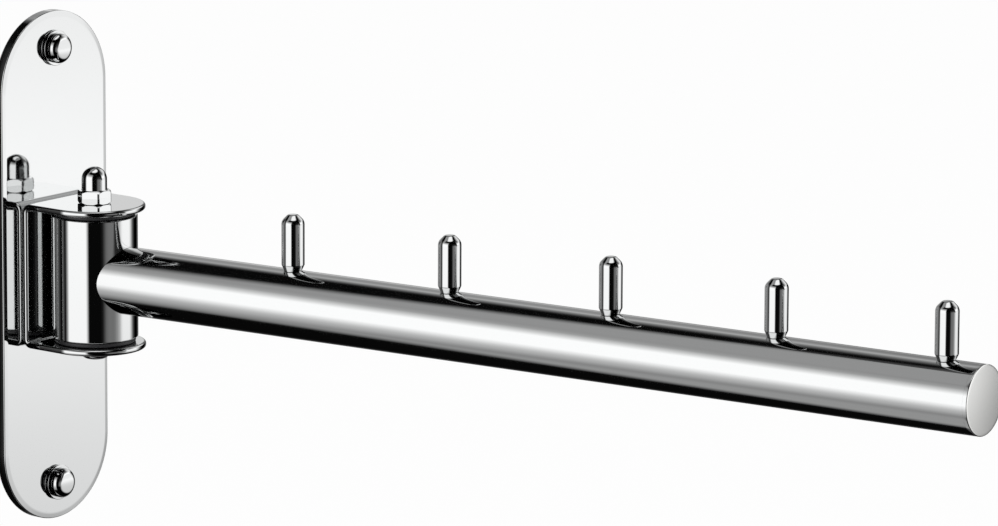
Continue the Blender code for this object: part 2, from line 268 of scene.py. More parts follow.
def roughnessOver(tree, look, source):
    return addNode(tree, "ShaderNodeMapRange", {
        "To Min": look["roughness"][0], "To Max": look["roughness"][1]}, {"Value": source})


def relieved(tree, shader, look, height):
    bump = addNode(tree, "ShaderNodeBump", {"Strength": look["relief"], "Distance": look["depth"] * mm},
                   {"Height": height})
    tree.links.new(bump.outputs[0], shader.inputs["Normal"])


# Stainless steel 304, mirror polished on a buffing wheel: near-white metal, sharp with a faint haze
polishLook = {"colour": "#DFE0E0", "clearest": 0.03, "haziest": 0.065, "hazeFrom": 0.4, "hazePatch": 18,
              "buffLine": 0.5, "buffStretch": 0.06, "buffShare": 0.35}
mirrorPolishedSteel, tree, shader = newMaterial("mirrorPolishedSteel", {
    "Base Color": linear(polishLook["colour"]), "Metallic": 1.0, "Roughness": polishLook["clearest"]})
patches = noiseOver(tree, polishLook["hazePatch"], 2.0)
# Real buffing lines are some 0.01 mm apart, so they are drawn far coarser
lines = addNode(tree, "ShaderNodeMapping", {"Scale": (1.0, polishLook["buffStretch"], 1.0)},
                {"Vector": addNode(tree, "ShaderNodeTexCoord").outputs["Object"]})
buffing = noiseOver(tree, polishLook["buffLine"], 1.0, lines)
haze = maths(tree, "MULTIPLY_ADD", buffing, polishLook["buffShare"], patches)
hazed = addNode(tree, "ShaderNodeMapRange", {
    "From Min": polishLook["hazeFrom"], "From Max": 1.0, "To Min": polishLook["clearest"],
    "To Max": polishLook["haziest"]}, {"Value": haze})
tree.links.new(hazed.outputs[0], shader.inputs["Roughness"])

# Stainless steel 304 with a belt-turned face: a soft pale face with faint rings, and a bright polished side
satinLook = {"colour": "#FBFBF9", "roughness": (0.12, 0.18), "ring": 0.35, "relief": 0.25, "depth": 0.0008,
             "faceFrom": 331.55, "faceBlend": 0.2}
satinTurnedSteel, tree, shader = newMaterial("satinTurnedSteel", {
    "Base Color": linear(satinLook["colour"]), "Metallic": 1.0, "Roughness": satinLook["roughness"][0]})
place = addNode(tree, "ShaderNodeTexCoord")
fromAxis = addNode(tree, "ShaderNodeVectorMath", {"operation": "SUBTRACT", 1: armAxisPoint},
                   {0: place.outputs["Object"]})
square = addNode(tree, "ShaderNodeVectorMath", {"operation": "CROSS_PRODUCT", 1: armWay}, {0: fromAxis})
ringRadius = addNode(tree, "ShaderNodeVectorMath", {"operation": "LENGTH"}, {0: square})
rings = addNode(tree, "ShaderNodeTexNoise", {
    "noise_dimensions": "1D", "Scale": 1 / (satinLook["ring"] * mm), "Detail": 2.0},
    {"W": ringRadius.outputs["Value"]})
reach = addNode(tree, "ShaderNodeVectorMath", {"operation": "DOT_PRODUCT", 1: armWay}, {0: fromAxis})
faceFrom, faceFull = satinLook["faceFrom"] * mm, (satinLook["faceFrom"] + satinLook["faceBlend"]) * mm
onFace = addNode(tree, "ShaderNodeMapRange", {"From Min": faceFrom, "From Max": faceFull},
                 {"Value": reach.outputs["Value"]})
rough = addNode(tree, "ShaderNodeMix", {2: polishLook["clearest"]},
                {0: onFace, 3: roughnessOver(tree, satinLook, rings)})
tree.links.new(rough.outputs[0], shader.inputs["Roughness"])
tint = addNode(tree, "ShaderNodeMix", {
    "data_type": "RGBA", 6: linear(polishLook["colour"]), 7: linear(satinLook["colour"])}, {0: onFace})
tree.links.new(tint.outputs[2], shader.inputs["Base Color"])
relieved(tree, shader, satinLook, rings)

# Carbon steel, turned and zinc plated: a duller, faintly uneven grey
zincLook = {"colour": "#C4C5C3", "roughness": (0.22, 0.38), "grain": 1.2, "turningLine": 0.3, "relief": 0.2,
            "depth": 0.004}
zincPlatedSteel, tree, shader = newMaterial("zincPlatedSteel", {
    "Base Color": linear(zincLook["colour"]), "Metallic": 1.0, "Roughness": zincLook["roughness"][0]})
rough = roughnessOver(tree, zincLook, noiseOver(tree, zincLook["grain"], 3.0))
tree.links.new(rough.outputs[0], shader.inputs["Roughness"])
relieved(tree, shader, zincLook, noiseOver(tree, zincLook["turningLine"], 1.0))

# Nylon 66: a matte ring with a fine moulded grain, coloured near black as painted shade for the dark gaps
# between the barrel and the tongues
nylonAndShadeLook = {"colour": "#323234", "shade": "#2A2A2C", "grain": 0.4, "relief": 0.3, "depth": 0.008}
nylonDarkAsShade, tree, shader = newMaterial("nylonDarkAsShade", {
    "Base Color": linear(nylonAndShadeLook["colour"]), "Roughness": 0.46, "IOR": 1.53})
grain = noiseOver(tree, nylonAndShadeLook["grain"], 2.0)
tint = addNode(tree, "ShaderNodeMix", {
    "data_type": "RGBA", 6: linear(nylonAndShadeLook["shade"]), 7: linear(nylonAndShadeLook["colour"])}, {0: grain})
tree.links.new(tint.outputs[2], shader.inputs["Base Color"])
relieved(tree, shader, nylonAndShadeLook, grain)
print("materials made")


# Geometry Nodes trees

repeatInLine, given, result = newShapeTree("repeatInLine", {
    "Count": "NodeSocketInt", "Step": "NodeSocketVector", "Finish": "NodeSocketMaterial"})
row = addNode(repeatInLine, "GeometryNodeMeshLine", {}, {"Count": given.outputs["Count"],
                                                         "Offset": given.outputs["Step"]})
copies = addNode(repeatInLine, "GeometryNodeInstanceOnPoints", {}, {"Points": row, "Instance": given})
real = addNode(repeatInLine, "GeometryNodeRealizeInstances", {}, {"Geometry": copies})
coated = addNode(repeatInLine, "GeometryNodeSetMaterial", {}, {"Geometry": real,
                                                               "Material": given.outputs["Finish"]})
repeatInLine.links.new(coated.outputs[0], result.inputs["Geometry"])

# A tube whose root is cut to the curve of a barrel that it meets square on. The sheet of mesh has five
# rows: outside at the root, outside at the end, inside at the end, inside at the root, and the first again.
# They lie at Y from -2 to 2, so a comparison that reaches 0.9 picks the two rows beside its middle.
tubeToBarrel, given, result = newShapeTree("tubeToBarrel", {
    "Outer Radius": "NodeSocketFloat", "Inner Radius": "NodeSocketFloat", "Barrel Radius": "NodeSocketFloat",
    "End": "NodeSocketFloat", "Around": "NodeSocketInt", "Finish": "NodeSocketMaterial"})
twoRows = 0.9
sheet = addNode(tubeToBarrel, "GeometryNodeMeshGrid", {"Size X": math.tau, "Size Y": 4.0, "Vertices Y": 5},
                {"Vertices X": given.outputs["Around"]})
at = addNode(tubeToBarrel, "ShaderNodeSeparateXYZ", {},
             {0: addNode(tubeToBarrel, "GeometryNodeInputPosition")})
inside = maths(tubeToBarrel, "COMPARE", at.outputs[1], 0.5, twoRows)
atEnd = maths(tubeToBarrel, "COMPARE", at.outputs[1], -0.5, twoRows)
radius = addNode(tubeToBarrel, "ShaderNodeMix", {}, {0: inside, 2: given.outputs["Outer Radius"],
                                                     3: given.outputs["Inner Radius"]})
across = maths(tubeToBarrel, "MULTIPLY", radius, maths(tubeToBarrel, "SINE", at.outputs[0]))
height = maths(tubeToBarrel, "MULTIPLY", radius, maths(tubeToBarrel, "COSINE", at.outputs[0]))
acrossSquared = maths(tubeToBarrel, "MULTIPLY", across, across)
barrelSquared = maths(tubeToBarrel, "MULTIPLY", given.outputs["Barrel Radius"],
                      given.outputs["Barrel Radius"])
root = maths(tubeToBarrel, "SQRT", maths(tubeToBarrel, "SUBTRACT", barrelSquared, acrossSquared))
reach = addNode(tubeToBarrel, "ShaderNodeMix", {}, {0: atEnd, 2: root, 3: given.outputs["End"]})
point = addNode(tubeToBarrel, "ShaderNodeCombineXYZ", {}, {0: across, 1: height, 2: reach})
rolled = addNode(tubeToBarrel, "GeometryNodeSetPosition", {}, {"Geometry": sheet, "Position": point})
joined = addNode(tubeToBarrel, "GeometryNodeMergeByDistance", {"Distance": 0.001}, {"Geometry": rolled})
coated = addNode(tubeToBarrel, "GeometryNodeSetMaterial", {}, {"Geometry": joined,
                                                               "Material": given.outputs["Finish"]})
tubeToBarrel.links.new(coated.outputs[0], result.inputs["Geometry"])
print("trees built")


# Wall plate: a stadium with its edges rounded off, a faint slope round its front, and a hole near each end

plate = {"width": 50, "height": 168, "thickness": 4, "frontEdge": 0.3, "backEdge": 0.7, "slopeWidth": 1.7,
         "slopeDepth": 0.24, "slopeRounding": 4, "flatRun": 0.8, "holeRadius": 2.6, "holeHeight": 72,
         "overrun": 1}


def stadium(width, length, inset, depth, steps=64):
    # A loop with round ends, which is this far in from the full width and length
    radius = width / 2 - inset
    middle = (length - width) / 2
    upperEnd = arc((0, middle), (radius, radius), 0, 180, steps)
    lowerEnd = arc((0, -middle), (radius, radius), 180, 360, steps)
    return [(x, y, depth) for x, y in upperEnd + lowerEnd]


flatInset = plate["slopeWidth"] + plate["flatRun"]
plateEdge = softened([(flatInset, 0, 0), (0, 0, plate["backEdge"]),
                      (0, plate["thickness"] - plate["slopeDepth"], plate["frontEdge"]),
                      (plate["slopeWidth"], plate["thickness"], plate["slopeRounding"]),
                      (flatInset, plate["thickness"], 0)], steps=6)
plateLoops = [stadium(plate["width"], plate["height"], inset, depth) for inset, depth in plateEdge]
plateBody = skinned([[(0, 0, 0)]] + plateLoops + [[(0, 0, plate["thickness"])]], onWall)
holeFrom, holeTo = -plate["overrun"], plate["thickness"] + plate["overrun"]
for side in (1, -1):
    hole = turned([(0, holeFrom), (plate["holeRadius"], holeFrom), (plate["holeRadius"], holeTo),
                   (0, holeTo)], onWall @ Matrix.Translation((0, side * plate["holeHeight"], 0)), steps=96)
    plateBody = cut(plateBody, hole)
finished("wallPlate", plateBody, mirrorPolishedSteel, fixedBody, ["wall_plate"])
print("plate built")


# Hinge bracket: one flat strip with round ends and rounded edges, drilled twice and folded to a U

bracket = {"sheet": 2.0, "bend": 0.9, "inside": 21.75, "webFront": 14.85, "tongue": 16.5, "hole": 3.2,
           "holeSides": 96, "edge": 0.85, "rim": 2, "foldSteps": 16}
flatWithin, onFoldLine = math.radians(0.5), 1e-5
middleBend = bracket["bend"] + bracket["sheet"] / 2
foldLength = middleBend * math.pi / 2
foldFrom = bracket["inside"] - bracket["bend"]
foldCentre = bracket["webFront"] - bracket["bend"]
tongueHole = foldFrom + foldLength + foldCentre
stripSize = (2 * bracket["tongue"], 2 * (tongueHole + bracket["tongue"]))
halfSheet, overrun = bracket["sheet"] / 2, 2
stripEdge = softened([(bracket["rim"], -halfSheet, 0), (0, -halfSheet, bracket["edge"]),
                      (0, halfSheet, bracket["edge"]), (bracket["rim"], halfSheet, 0)], steps=8)
stripLoops = [stadium(*stripSize, inset, depth) for inset, depth in stripEdge]
strip = skinned([[(0, 0, -halfSheet)]] + stripLoops + [[(0, 0, halfSheet)]], Matrix())
bmesh.ops.dissolve_limit(strip, angle_limit=flatWithin, verts=strip.verts, edges=strip.edges)
for side in (1, -1):
    drill = extruded(polygon((0, side * tongueHole), bracket["hole"], bracket["holeSides"]), 2 * overrun,
                     Matrix.Translation((0, 0, -overrun)))
    drilled = bmesh.new()
    drilled.from_mesh(cut(strip, drill))
    strip = drilled
for side in (1, -1):
    for k in range(bracket["foldSteps"] + 1):
        level = side * (foldFrom + foldLength * k / bracket["foldSteps"])
        bmesh.ops.bisect_plane(strip, geom=strip.verts[:] + strip.edges[:] + strip.faces[:],
                               dist=onFoldLine, plane_co=(0, level, 0), plane_no=(0, 1, 0))
for corner in strip.verts:
    # Along the strip is up the web, then round the bend and out along the tongue
    across, along, depth = corner.co
    side, past = math.copysign(1, along), abs(along) - foldFrom
    if past <= 0:
        corner.co = (across, bracket["webFront"] + halfSheet + depth, along)
        continue
    turn = min(past / foldLength, 1) * math.pi / 2
    straight = max(0, past - foldLength)
    corner.co = (across, foldCentre + (middleBend + depth) * math.cos(turn) - straight,
                 side * (foldFrom + (middleBend + depth) * math.sin(turn)))
strip.transform(atHinge)
finished("hingeBracket", facedOut(strip), mirrorPolishedSteel, fixedBody,
         ["hinge_bracket"])
print("bracket bent")


# Hinge barrel, its nylon bushes, and the sleeve on the bolt

barrel = {"radius": 14, "bore": 11.5, "half": 20.05, "edge": 0.4, "boreEdge": 0.2}
barrelProfile = softened([
    (barrel["bore"], -barrel["half"], barrel["boreEdge"]),
    (barrel["radius"], -barrel["half"], barrel["edge"]), (barrel["radius"], barrel["half"], barrel["edge"]),
    (barrel["bore"], barrel["half"], barrel["boreEdge"])])
finished("hingeBarrel", turned(barrelProfile, onHinge, steps=256), mirrorPolishedSteel, movingBody,
         ["hinge_barrel"])

bush = {"bore": 4.3, "outer": 11.35, "rim": 13.2, "innerEnd": 10.7, "seat": 20.2, "face": 21.6, "edge": 0.4,
        "boreEdge": 0.2}
bushProfile = softened([
    (bush["bore"], bush["innerEnd"], bush["boreEdge"]), (bush["outer"], bush["innerEnd"], bush["edge"]),
    (bush["outer"], bush["seat"], 0), (bush["rim"], bush["seat"], bush["edge"]),
    (bush["rim"], bush["face"], bush["edge"]), (bush["bore"], bush["face"], bush["boreEdge"])], steps=4)
# Both bushes take the near-black nylon, whose dark colour is painted shade in the gaps at the barrel's ends
for name, node, turn in (("upperBush", "upper_bush", 0), ("lowerBush", "lower_bush", math.pi)):
    bushBody = turned(bushProfile, onHinge @ Matrix.Rotation(turn, 4, "X"), steps=128)
    finished(name, bushBody, nylonDarkAsShade, movingBody, [node])

sleeve = {"bore": 3.15, "outer": 4.15, "half": 21.6, "edge": 0.15}
sleeveProfile = softened([
    (sleeve["bore"], -sleeve["half"], sleeve["edge"]), (sleeve["outer"], -sleeve["half"], sleeve["edge"]),
    (sleeve["outer"], sleeve["half"], sleeve["edge"]), (sleeve["bore"], sleeve["half"], sleeve["edge"])],
    steps=3)
finished("pivotSleeve", turned(sleeveProfile, atHinge, steps=96), zincPlatedSteel, fixedBody,
         ["pivot_sleeve"])


# Bolt and cap nut

bolt = {"radius": 3, "head": 5.25, "under": -23.9, "bottom": -27.5, "flat": 2.4, "edge": 0.4, "tip": 30.1,
        "keyFlats": 4.0, "keyDepth": 1.9}
headRise = bolt["under"] - bolt["edge"] - bolt["bottom"]
boltProfile = [Vector((0, bolt["bottom"]))]
boltProfile += arc((bolt["flat"], bolt["under"] - bolt["edge"]), (bolt["head"] - bolt["flat"], headRise),
                   -90, 0, steps=16)
boltProfile += softened([(bolt["head"] - bolt["edge"], bolt["under"], 0), (bolt["radius"], bolt["under"], 0),
                         (bolt["radius"], bolt["tip"], bolt["edge"]), (0, bolt["tip"], 0)])
keyPlace = atHinge @ Matrix.Translation((0, 0, bolt["bottom"] - overrun))
key = extruded(polygon((0, 0), hexRadius(bolt["keyFlats"]), 6), bolt["keyDepth"] + overrun, keyPlace)
finished("hingeBolt", cut(turned(boltProfile, atHinge, steps=96), key), mirrorPolishedSteel, fixedBody,
         ["hinge_bolt"])

nut = {"flats": 10, "low": 23.9, "shoulder": 28.1, "neckTop": 31.6, "top": 35.75, "dome": 4.15, "turn": -4.2,
       "cornerRounding": 0.9, "chamferFrom": 5.08, "chamferTilt": 45, "bore": 3.15, "boreTop": 30.25,
       "fillet": 0.3, "sideSteps": 20, "longSide": 1}
cornerRadius = hexRadius(nut["flats"])
hexCorners = [(cornerRadius * math.cos(a), cornerRadius * math.sin(a), nut["cornerRounding"])
              for a in (math.radians(nut["turn"] + 60 * i) for i in range(6))]
rounded = softened(hexCorners, steps=6)
hexOutline = []
for start, end in zip(rounded, rounded[1:] + rounded[:1]):
    # The hexagon's sides are divided, and the short steps round its corners are not
    parts = nut["sideSteps"] if (end - start).length > nut["longSide"] else 1
    hexOutline += [start.lerp(end, i / parts) for i in range(parts)]
slope = math.tan(math.radians(nut["chamferTilt"]))
hexLoops = []
for level, inwards in ((nut["low"], 1), (nut["shoulder"], -1)):
    flatLoop = [(p * (min(p.length, nut["chamferFrom"]) / p.length)).to_3d() + Vector((0, 0, level))
                for p in hexOutline]
    edgeLoop = [p.to_3d() + Vector((0, 0, level + inwards * max(0, p.length - nut["chamferFrom"]) * slope))
                for p in hexOutline]
    hexLoops += [flatLoop, edgeLoop][::inwards]
way = [p.normalized() for p in hexOutline]
rising = softened([(nut["dome"] + 1, nut["shoulder"], 0), (nut["dome"], nut["shoulder"], nut["fillet"]),
                   (nut["dome"], nut["neckTop"], 0)])[1:]
rising += arc((0, nut["neckTop"]), (nut["dome"], nut["top"] - nut["neckTop"]), 0, 90, steps=24)[1:-1]
roundLoops = [[(w.x * r, w.y * r, z) for w in way] for r, z in rising]
boreLoops = [[(w.x * nut["bore"], w.y * nut["bore"], z) for w in way] for z in (nut["boreTop"], nut["low"])]
nutLoops = [[(0, 0, nut["boreTop"])]] + boreLoops + hexLoops + roundLoops + [[(0, 0, nut["top"])]]
finished("capNut", skinned(nutLoops, atHinge), mirrorPolishedSteel, fixedBody, ["cap_nut"])
print("hinge assembled")


# Arm tube, its satin end cap and the studs

tube = {"Outer Radius": 11.0, "Inner Radius": 9.5, "Barrel Radius": 14.15, "End": 330.4, "Around": 257}
tubeBody = bmesh.new()
tubeBody.from_mesh(shapedBy(tubeToBarrel, "tubeBlank", bmesh.new(), {**tube, "Finish": mirrorPolishedSteel}))
tubeBody.transform(alongArm)
finished("armTube", facedOut(tubeBody), mirrorPolishedSteel, movingBody, ["arm_tube"])

endCap = {"radius": 10.985, "seat": 330.4, "face": 332, "edge": 0.3, "spigot": 9.35, "spigotEdge": 0.4,
          "innerEnd": 324.4, "crown": 0.15}
capShoulder = endCap["face"] - endCap["crown"]
capProfile = [Vector((0, endCap["innerEnd"]))] + softened([
    (endCap["spigot"], endCap["innerEnd"], endCap["spigotEdge"]), (endCap["spigot"], endCap["seat"], 0),
    (endCap["radius"], endCap["seat"], 0), (endCap["radius"], capShoulder, endCap["edge"]),
    (0, capShoulder, 0)])[:-1]
capProfile += bowed((endCap["radius"], capShoulder), endCap["face"], steps=16)
finished("armEndCap", turned(capProfile, alongArm), satinTurnedSteel, movingBody,
         ["arm_end_cap"])

stud = {"count": 5, "first": 78.5, "pitch": 60, "radius": 3.7, "sole": 2.9, "soleWithin": 0.01,
        "foot": 11.15, "footChamfer": 1.6, "footSoft": 1.0, "top": 29, "chamfer": 2.1, "soft": 2.6,
        "topSoft": 1.3}
studProfile = [Vector((0, stud["foot"]))] + softened([
    (stud["sole"], stud["foot"], 0), (stud["radius"], stud["foot"] + stud["footChamfer"], stud["footSoft"]),
    (stud["radius"], stud["top"] - stud["chamfer"], stud["soft"]),
    (stud["radius"] - stud["chamfer"], stud["top"], stud["topSoft"]), (0, stud["top"], 0)], steps=10)
studBody = turned(studProfile, Matrix(), steps=128)
for corner in studBody.verts:
    # The sole follows the curve of the tube
    if corner.co.z < stud["foot"] + stud["soleWithin"]:
        corner.co.z -= tube["Outer Radius"] - math.sqrt(tube["Outer Radius"] ** 2 - corner.co.x ** 2)
studBody.transform(onArm @ Matrix.Translation((0, -stud["first"], 0)))
studRow = shapedBy(repeatInLine, "studRow", studBody, {
    "Count": stud["count"], "Step": armWay * stud["pitch"] * mm, "Finish": mirrorPolishedSteel})
finished("hookStuds", studRow, mirrorPolishedSteel, movingBody,
         [f"hook_stud_{number}" for number in range(1, stud["count"] + 1)])
print("arm built")


# Wall screws with their ring washers and snap-on covers. Each is made at the lower hole and repeated.

screwPair = {"Count": 2, "Step": Vector((0, 0, 2 * plate["holeHeight"] * mm))}
lowerHole = onWall @ Matrix.Translation((0, -plate["holeHeight"], 0))

ring = {"bore": 2.4, "rim": 5.8, "low": 4.15, "high": 5.15, "edge": 0.15}
ringProfile = softened([(ring["bore"], ring["low"], 0), (ring["rim"], ring["low"], ring["edge"]),
                        (ring["rim"], ring["high"], ring["edge"]), (ring["bore"], ring["high"], 0)], steps=3)
ringRow = shapedBy(repeatInLine, "ringRow", turned(ringProfile, lowerHole, steps=96),
                   {**screwPair, "Finish": mirrorPolishedSteel})
finished("coverWashers", ringRow, mirrorPolishedSteel, fixedBody,
         ["cover_washer_upper", "cover_washer_lower"])

cover = {"skirt": 5.3, "outer": 4.9, "inner": 4.25, "flat": 2.7, "shoulder": 8.48, "crown": 8.57,
         "wall": 0.65, "crownTilt": 3, "bowSteps": 10, "crownSteps": 12}
outerBow, innerBow = cover["outer"] - cover["flat"], cover["inner"] - cover["flat"]
bowCentre, bowEnd = (cover["flat"], cover["shoulder"] - outerBow), 90 - cover["crownTilt"]
outerArc = arc(bowCentre, (outerBow, outerBow), 0, bowEnd, cover["bowSteps"])
innerArc = arc(bowCentre, (innerBow, innerBow), 0, bowEnd, cover["bowSteps"])
outerCrown = bowed(outerArc[-1], cover["crown"], cover["crownSteps"])
innerCrown = bowed(innerArc[-1], cover["crown"] - cover["wall"], cover["crownSteps"])
coverProfile = [Vector((cover["inner"], cover["skirt"])), Vector((cover["outer"], cover["skirt"]))]
coverProfile += outerArc + outerCrown + innerCrown[::-1] + innerArc[::-1]
coverRow = shapedBy(repeatInLine, "coverRow", turned(coverProfile, lowerHole, steps=160),
                    {**screwPair, "Finish": mirrorPolishedSteel})
finished("screwCovers", coverRow, mirrorPolishedSteel, fixedBody,
         ["screw_cover_upper", "screw_cover_lower"])

screw = {"tip": -16, "point": 5, "crest": 2.25, "core": 1.55, "pitch": 1.8, "sharpness": 3, "threadTop": 0,
         "neck": 1.8, "neckFrom": 0.6, "under": 5.3, "head": 3.8, "top": 7.5, "headEdge": 0.8,
         "crossSpan": 4.2, "crossWidth": 0.9, "crossDepth": 1.2}
around, rowsPerTurn = 48, 12
threadLoops = [[(0, 0, screw["tip"])]]
rows = int((screw["threadTop"] - screw["tip"]) / screw["pitch"] * rowsPerTurn)
for k in range(1, rows + 1):
    level = screw["tip"] + k * screw["pitch"] / rowsPerTurn
    taper = min(1, (level - screw["tip"]) / screw["point"])
    loop = []
    for i in range(around):
        angle = math.tau * i / around
        wave = 0.5 + 0.5 * math.cos(math.tau * (k / rowsPerTurn - i / around))
        radius = taper * (screw["core"] + (screw["crest"] - screw["core"]) * wave ** screw["sharpness"])
        loop.append((radius * math.cos(angle), radius * math.sin(angle), level))
    threadLoops.append(loop)
shankTop = softened([(screw["neck"], screw["threadTop"] + screw["neckFrom"], 0),
                     (screw["neck"], screw["under"], 0), (screw["head"], screw["under"], 0),
                     (screw["head"], screw["top"], screw["headEdge"]), (0, screw["top"], 0)])
threadLoops += [circle(radius, level, around) for radius, level in shankTop]
screwBody = skinned(threadLoops, lowerHole)
halfSpan, halfWidth = screw["crossSpan"] / 2, screw["crossWidth"] / 2
crossBar = [(halfSpan, -halfWidth), (halfSpan, halfWidth), (-halfSpan, halfWidth), (-halfSpan, -halfWidth)]
crossFloor = lowerHole @ Matrix.Translation((0, 0, screw["top"] - screw["crossDepth"]))
for turn in (0, math.pi / 2):
    bar = extruded(crossBar, screw["crossDepth"] + overrun, crossFloor @ Matrix.Rotation(turn, 4, "Z"))
    screwBody = cut(screwBody, bar)
screwRow = shapedBy(repeatInLine, "screwRow", screwBody, {**screwPair, "Finish": zincPlatedSteel})
finished("wallScrews", screwRow, zincPlatedSteel, fixedBody,
         ["wall_screw_upper", "wall_screw_lower"])
print("screws and covers built")


# Camera: a long lens, a little above the arm and well round to its left

lensPixels, imageWidth, sensor = 7410.75, 998, 36
view = {"azimuth": -51.152, "elevation": 11.273, "roll": 0.243, "fromHinge": (-1750.7, -1578.07, 473.55),
        "reach": 40}
azimuth, elevation, roll = (math.radians(view[key]) for key in ("azimuth", "elevation", "roll"))
back = Vector((math.sin(azimuth) * math.cos(elevation), -math.cos(azimuth) * math.cos(elevation),
               math.sin(elevation)))
level = Vector((0, 0, 1)).cross(back).normalized()
rise = back.cross(level)
right = level * math.cos(roll) + rise * math.sin(roll)
up = rise * math.cos(roll) - level * math.sin(roll)
camera = bpy.data.objects.new("photoCamera", bpy.data.cameras.new("photoCamera"))
camera.data.sensor_fit, camera.data.sensor_width = "HORIZONTAL", sensor
camera.data.lens = lensPixels / imageWidth * sensor
camera.data.clip_end = view["reach"]
camera.matrix_world = Matrix.Translation(hinge + Vector(view["fromHinge"]) * mm) @ Matrix(
    (right, up, back)).transposed().to_4x4()
scene.collection.objects.link(camera)
scene.camera = camera


# Floor: a pale disc far below, which is seen from above only and keeps the shadow

floorLook = {"radius": 9.0, "height": -0.55, "colour": "#FAFAFA", "white": 0.88}
pale, tree, shader = newMaterial("paleFloor", {"Base Color": linear(floorLook["colour"]), "Roughness": 0.9})
path = addNode(tree, "ShaderNodeLightPath")
glow = addNode(tree, "ShaderNodeEmission", {"Color": (1, 1, 1, 1), "Strength": 1.0})
share = addNode(tree, "ShaderNodeMath", {"operation": "MULTIPLY", 1: floorLook["white"]},
                {0: path.outputs["Is Camera Ray"]})
lit = addNode(tree, "ShaderNodeMixShader", {}, {0: share, 1: shader, 2: glow})
clear = addNode(tree, "ShaderNodeBsdfTransparent")
facing = addNode(tree, "ShaderNodeNewGeometry")
shown = addNode(tree, "ShaderNodeMixShader", {}, {0: facing.outputs["Backfacing"], 1: lit, 2: clear})
tree.links.new(shown.outputs[0], tree.nodes["Material Output"].inputs["Surface"])
floorMesh = bmesh.new()
bmesh.ops.create_circle(floorMesh, cap_ends=True, segments=96, radius=floorLook["radius"])
floorMesh.transform(Matrix.Translation((0, 0, floorLook["height"])))
floor = objectFrom("paleFloor", floorMesh)
if floor.data.polygons[0].normal.z < 0:
    floor.data.flip_normals()
floor.data.materials.append(pale)
floor.visible_glossy = False


# Lamp: one wide soft panel above the front, which metal doesn't mirror

lamp = {"size": 2.4, "power": 32, "at": Vector((-1.6, -2.0, 2.2))}
panel = bpy.data.lights.new("softPanel", "AREA")
panel.shape, panel.size, panel.energy = "DISK", lamp["size"], lamp["power"]
softPanel = bpy.data.objects.new("softPanel", panel)
lampTurn = lamp["at"].to_track_quat("Z", "Y").to_matrix().to_4x4()
softPanel.matrix_world = Matrix.Translation(lamp["at"]) @ lampTurn
softPanel.visible_glossy = False
scene.collection.objects.link(softPanel)


# World: white to the camera, and to polished metal a studio of soft boxes and dark flags.
# Azimuth 0 is the way the plate faces and 90 is to its right, both in degrees, and so is elevation.
# Each wall of the studio is a brightness by azimuth times a share by elevation.

studio = [
    # Dull room behind, brighter at the left than at the right
    {"azimuth": [(-180, 0.37), (-128, 0.37), (-112, 0), (100, 0), (108, 0.1), (180, 0.1)],
     "elevation": [(-70, 1), (64, 1), (71, 0)]},
    # Dark flag by the camera, then grey low over the front that rises to the right
    {"azimuth": [(-100, 0.01), (-74, 0.003), (-33, 0.003), (-27, 0.012), (-22, 0.075), (-17, 0.16),
                 (-10, 0.2), (2, 0.2), (11, 0.26), (16, 0.2), (22, 0)],
     "elevation": [(-20, 0), (-14, 1), (-3, 1), (8, 0.15), (30, 0)]},
    # White soft box low to the right of the front, soft at both sides
    {"azimuth": [(8, 0), (14, 0.1), (17, 0.25), (22, 0.52), (25, 0.72), (28.7, 0.9), (32, 0.98), (36, 1),
                 (56, 1), (60.5, 0.84), (65.5, 0.52), (70.5, 0.2), (76, 0.05), (84, 0)],
     "elevation": [(-32, 0), (-22, 0.7), (-15, 0.8), (-13, 0.9), (-12, 1.07), (-10.5, 1.27), (-9.3, 1.12),
                   (-7, 1.1), (-4, 0)]},
    # The same box higher up, narrower at its left, with a bright strip along it
    {"azimuth": [(24, 0), (30, 1), (56, 1), (66, 0.5), (77, 0)],
     "elevation": [(-7, 0), (-4, 1.1), (5, 1.1), (8, 1.45), (14, 1.45), (19, 1.1), (24, 0.8), (31, 0.25),
                   (42, 0.08), (54, 0)]},
    # Softer box high at the right
    {"azimuth": [(52, 0), (66, 0.6), (77, 1), (100, 1), (110, 0)],
     "elevation": [(12, 0), (20, 1), (40, 0.75), (54, 0)]},
    # Ceiling, white over the front and grey over the back
    {"azimuth": [(-115, 0.31), (-90, 1.2), (90, 1.2), (115, 0.31)], "elevation": [(64, 0), (71, 1)]}]
# Where a direction points back past the wall it meets the dark, except for the white panel at the right rear
rearPanel = {"azimuth": [(108, 0), (117, 0.12), (124, 0.35), (128, 0.62), (131, 0.8), (138, 0.85),
                         (146, 0.6), (152, 0.2), (158, 0)],
             "elevation": [(-40, 0), (-30, 0.04), (-20, 0.2), (-11, 0.6), (2, 0.62), (7.5, 0.58),
                           (9.7, 0.93), (12.3, 0.93), (14.5, 0.52), (24, 0.4), (31, 0.4), (38, 0.6),
                           (43, 0.35), (48, 0.2), (57, 0)]}
# Backwards is how far a direction points to the wall, from -1 to 1, and askew is the same a little turned
backwards = {"lean": -0.016, "turn": 0.093}
pastWall = [(0.478, 0), (0.515, 1)]
# A pale wall straight behind lights the back of the plate and the edges of the studs
backWall = {"backwards": [(0.70, 0), (0.84, 0.2), (1.0, 0.38)],
            "elevation": [(-38, 0), (-28, 1), (28, 1), (38, 0)]}
